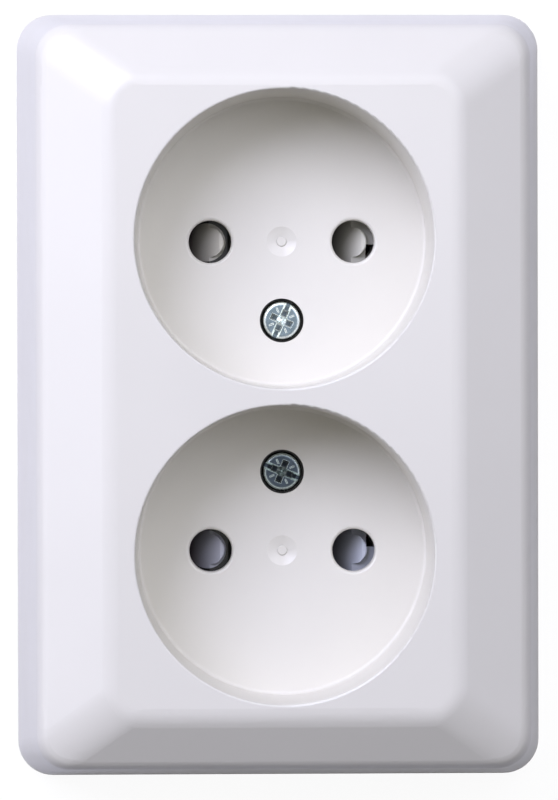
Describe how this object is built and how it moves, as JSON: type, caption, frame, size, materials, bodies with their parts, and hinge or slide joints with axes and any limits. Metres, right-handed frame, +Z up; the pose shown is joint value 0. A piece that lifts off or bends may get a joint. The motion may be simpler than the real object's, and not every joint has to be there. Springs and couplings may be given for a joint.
{
  "type": "surface-mounted double socket",
  "caption": "Wall outlet in a drafted one-piece hood with round recesses, sunk cover screws, sprung sliding shutters behind the pin holes, and sleeve contacts on a base plate.",
  "frame": {"origin": "centre of the back, on the wall plane", "axes": "+Z up, -Y out of the wall towards the user, +X to the right seen from the front"},
  "size_m": [0.0716, 0.036, 0.1042],
  "materials": {
    "white_gloss_plastic": "glossy moulded",
    "grey_moulding": "matt moulded",
    "shutter_plastic": "satin moulded",
    "natural_plastic": "matt moulded",
    "zinc_plated_steel": "zinc plated",
    "spring_steel": "drawn wire",
    "brass": "stamped",
    "bronze": "stamped"
  },
  "bodies": {
    "housing": {"cover": "white_gloss_plastic", "base": "grey_moulding", "cover_screw_top": "zinc_plated_steel", "cover_screw_bottom": "zinc_plated_steel", "thread_insert_top": "brass", "thread_insert_bottom": "brass", "shutter_spring_top": "spring_steel", "shutter_tray_top": "natural_plastic", "tray_screws_top": "zinc_plated_steel", "shutter_spring_bottom": "spring_steel", "shutter_tray_bottom": "natural_plastic", "tray_screws_bottom": "zinc_plated_steel", "busbar_left": "brass", "terminal_left": "brass", "contact_top_left": "bronze", "contact_ring_top_left": "spring_steel", "terminal_screw_top_left": "zinc_plated_steel", "contact_bottom_left": "bronze", "contact_ring_bottom_left": "spring_steel", "terminal_screw_bottom_left": "zinc_plated_steel", "busbar_right": "brass", "terminal_right": "brass", "contact_top_right": "bronze", "contact_ring_top_right": "spring_steel", "terminal_screw_top_right": "zinc_plated_steel", "contact_bottom_right": "bronze", "contact_ring_bottom_right": "spring_steel", "terminal_screw_bottom_right": "zinc_plated_steel"},
    "shutter_top": {"shutter_top": "shutter_plastic"},
    "shutter_bottom": {"shutter_bottom": "shutter_plastic"}
  },
  "joints": [
    {"name": "shutter_top_slide", "type": "slide", "parent": "housing", "child": "shutter_top", "axis": [1, 0, 0], "range_m": [0, 0.0058], "stiffness_N_per_m": 60, "springref_m": -0.004, "deforming": ["shutter_spring_top"]},
    {"name": "shutter_bottom_slide", "type": "slide", "parent": "housing", "child": "shutter_bottom", "axis": [1, 0, 0], "range_m": [0, 0.0058], "stiffness_N_per_m": 60, "springref_m": -0.004, "deforming": ["shutter_spring_bottom"]}
  ]
}
